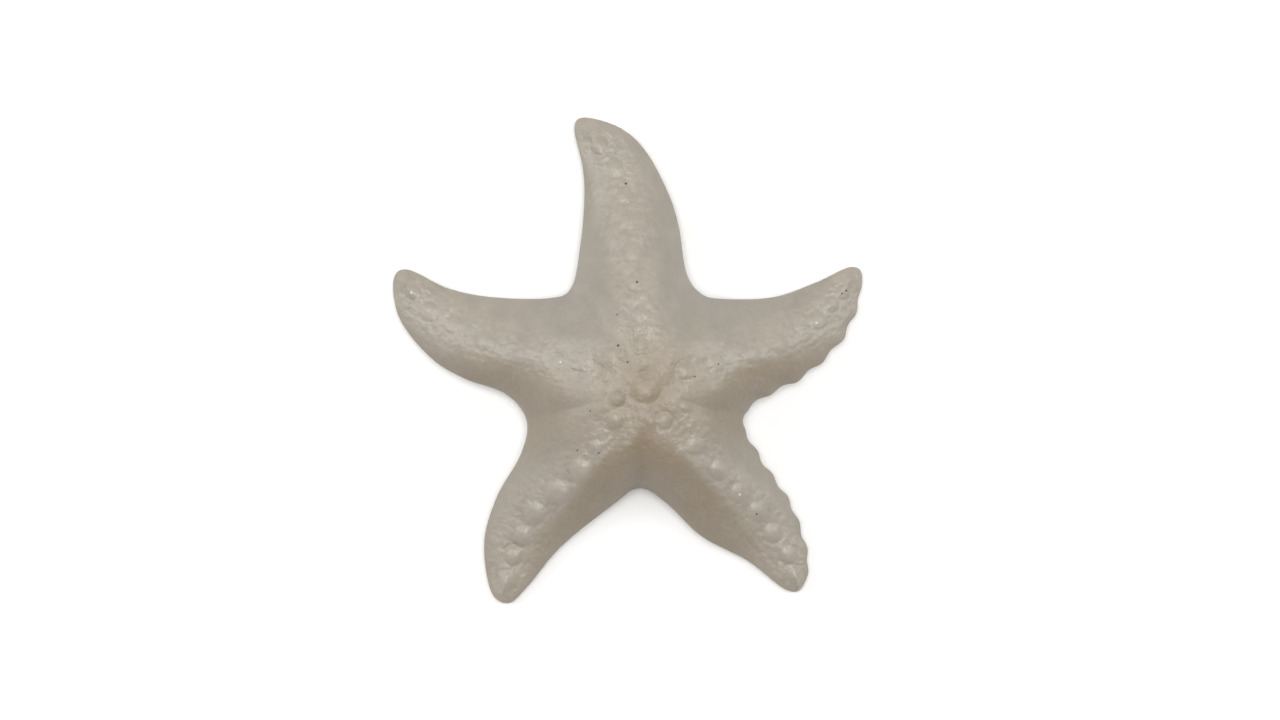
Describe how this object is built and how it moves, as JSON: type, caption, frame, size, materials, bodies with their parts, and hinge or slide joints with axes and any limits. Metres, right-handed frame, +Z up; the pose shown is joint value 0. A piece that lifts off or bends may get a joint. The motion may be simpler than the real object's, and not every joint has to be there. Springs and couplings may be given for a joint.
{
  "type": "dried starfish",
  "caption": "Five-armed starfish in one solid piece, domed at the disc, with knobbed crests and a flat, furrowed underside to lie on.",
  "frame": {"origin": "centre of the bounding box at the underside, on the surface that the starfish lies on", "axes": "+Z up out of the knobbed side; +Y towards the tip of the longest arm; +X completes the right-handed set"},
  "size_m": [0.145, 0.1502, 0.0309],
  "materials": {
    "skin": "pale greige, satin, softly mottled, a little browner in the hollows, with fine pinholes"
  },
  "bodies": {
    "root": {"starfish": "skin"}
  },
  "joints": []
}
